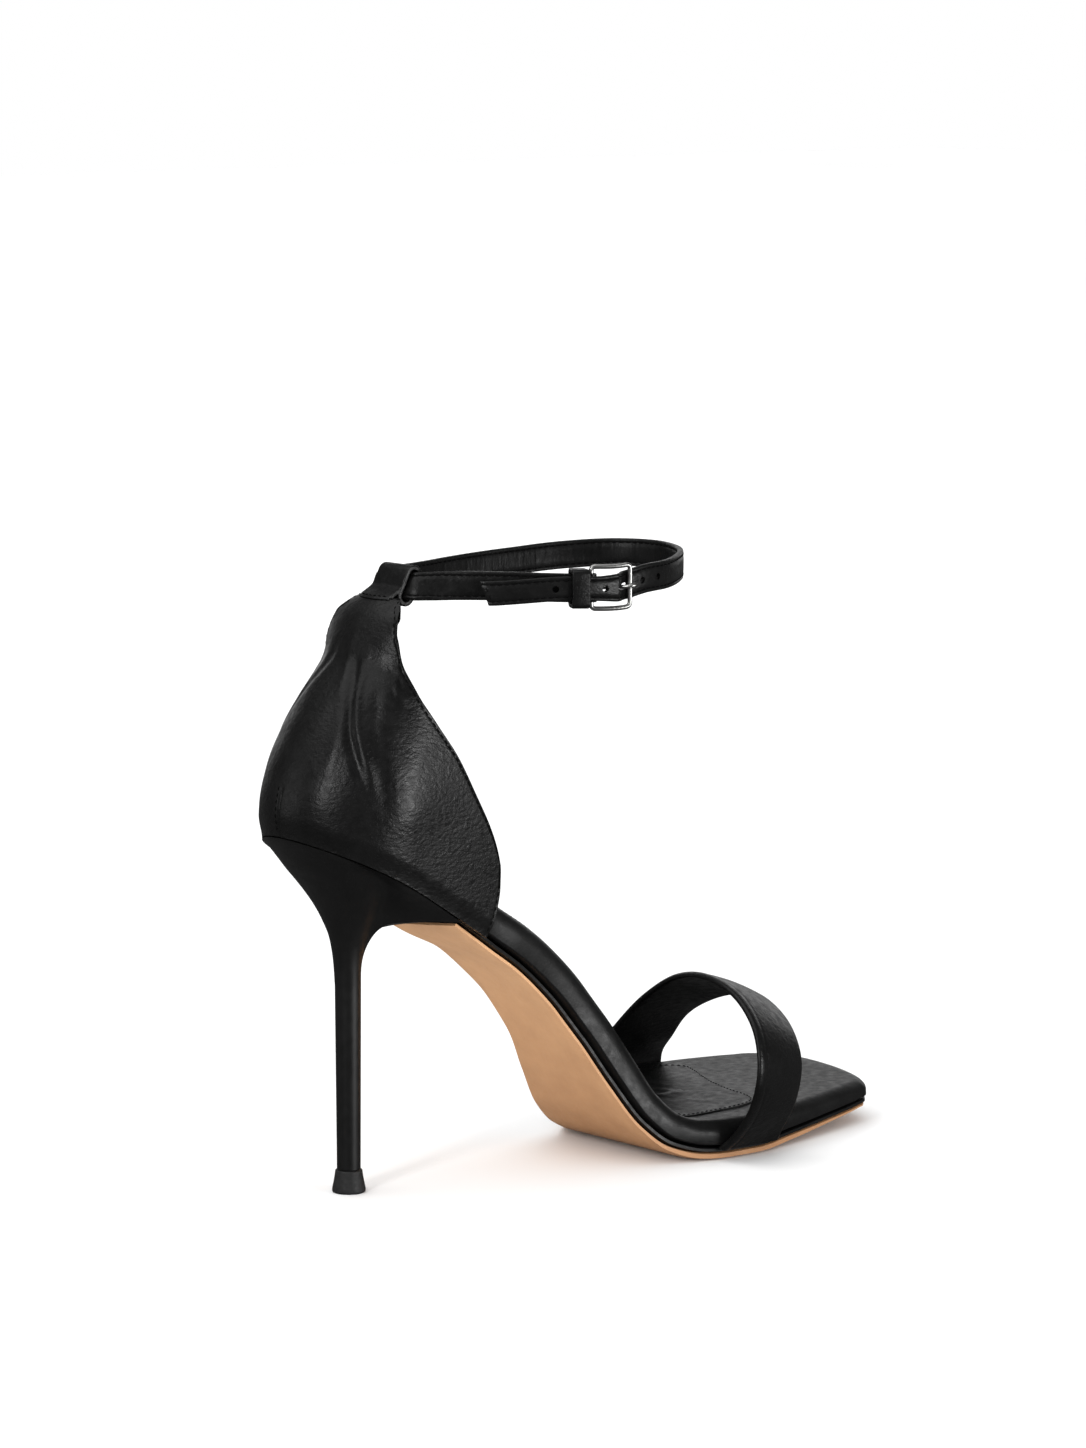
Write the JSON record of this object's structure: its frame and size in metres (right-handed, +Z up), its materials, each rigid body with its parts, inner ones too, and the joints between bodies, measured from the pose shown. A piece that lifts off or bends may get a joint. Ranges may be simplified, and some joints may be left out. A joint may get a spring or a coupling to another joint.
{
  "type": "strappy heeled sandal",
  "caption": "Black leather sandal with a slim high heel, closed counter, wide forefoot band, buckled ankle strap and tan sole",
  "frame": {"origin": "on the floor, in the middle of the heel tip's underside", "axes": "+X forward to the toe, +Y across to the medial side of the foot, +Z up"},
  "size_m": [0.2145, 0.0996, 0.1793],
  "materials": {
    "upper_leather": "satin",
    "lining_leather": "satin",
    "heel_cover": "smooth satin",
    "tan_leather": "matte",
    "tip_rubber": "matte",
    "buckle_metal": "satin"
  },
  "bodies": {
    "root": {"outsole": "tan_leather", "insole_board": "lining_leather", "footbed": "lining_leather", "heel": "heel_cover", "heel_tip": "tip_rubber", "counter": "upper_leather", "vamp_band": "upper_leather", "ankle_strap": "upper_leather", "strap_keeper": "upper_leather", "buckle_frame": "buckle_metal", "buckle_prong": "buckle_metal"}
  },
  "joints": []
}
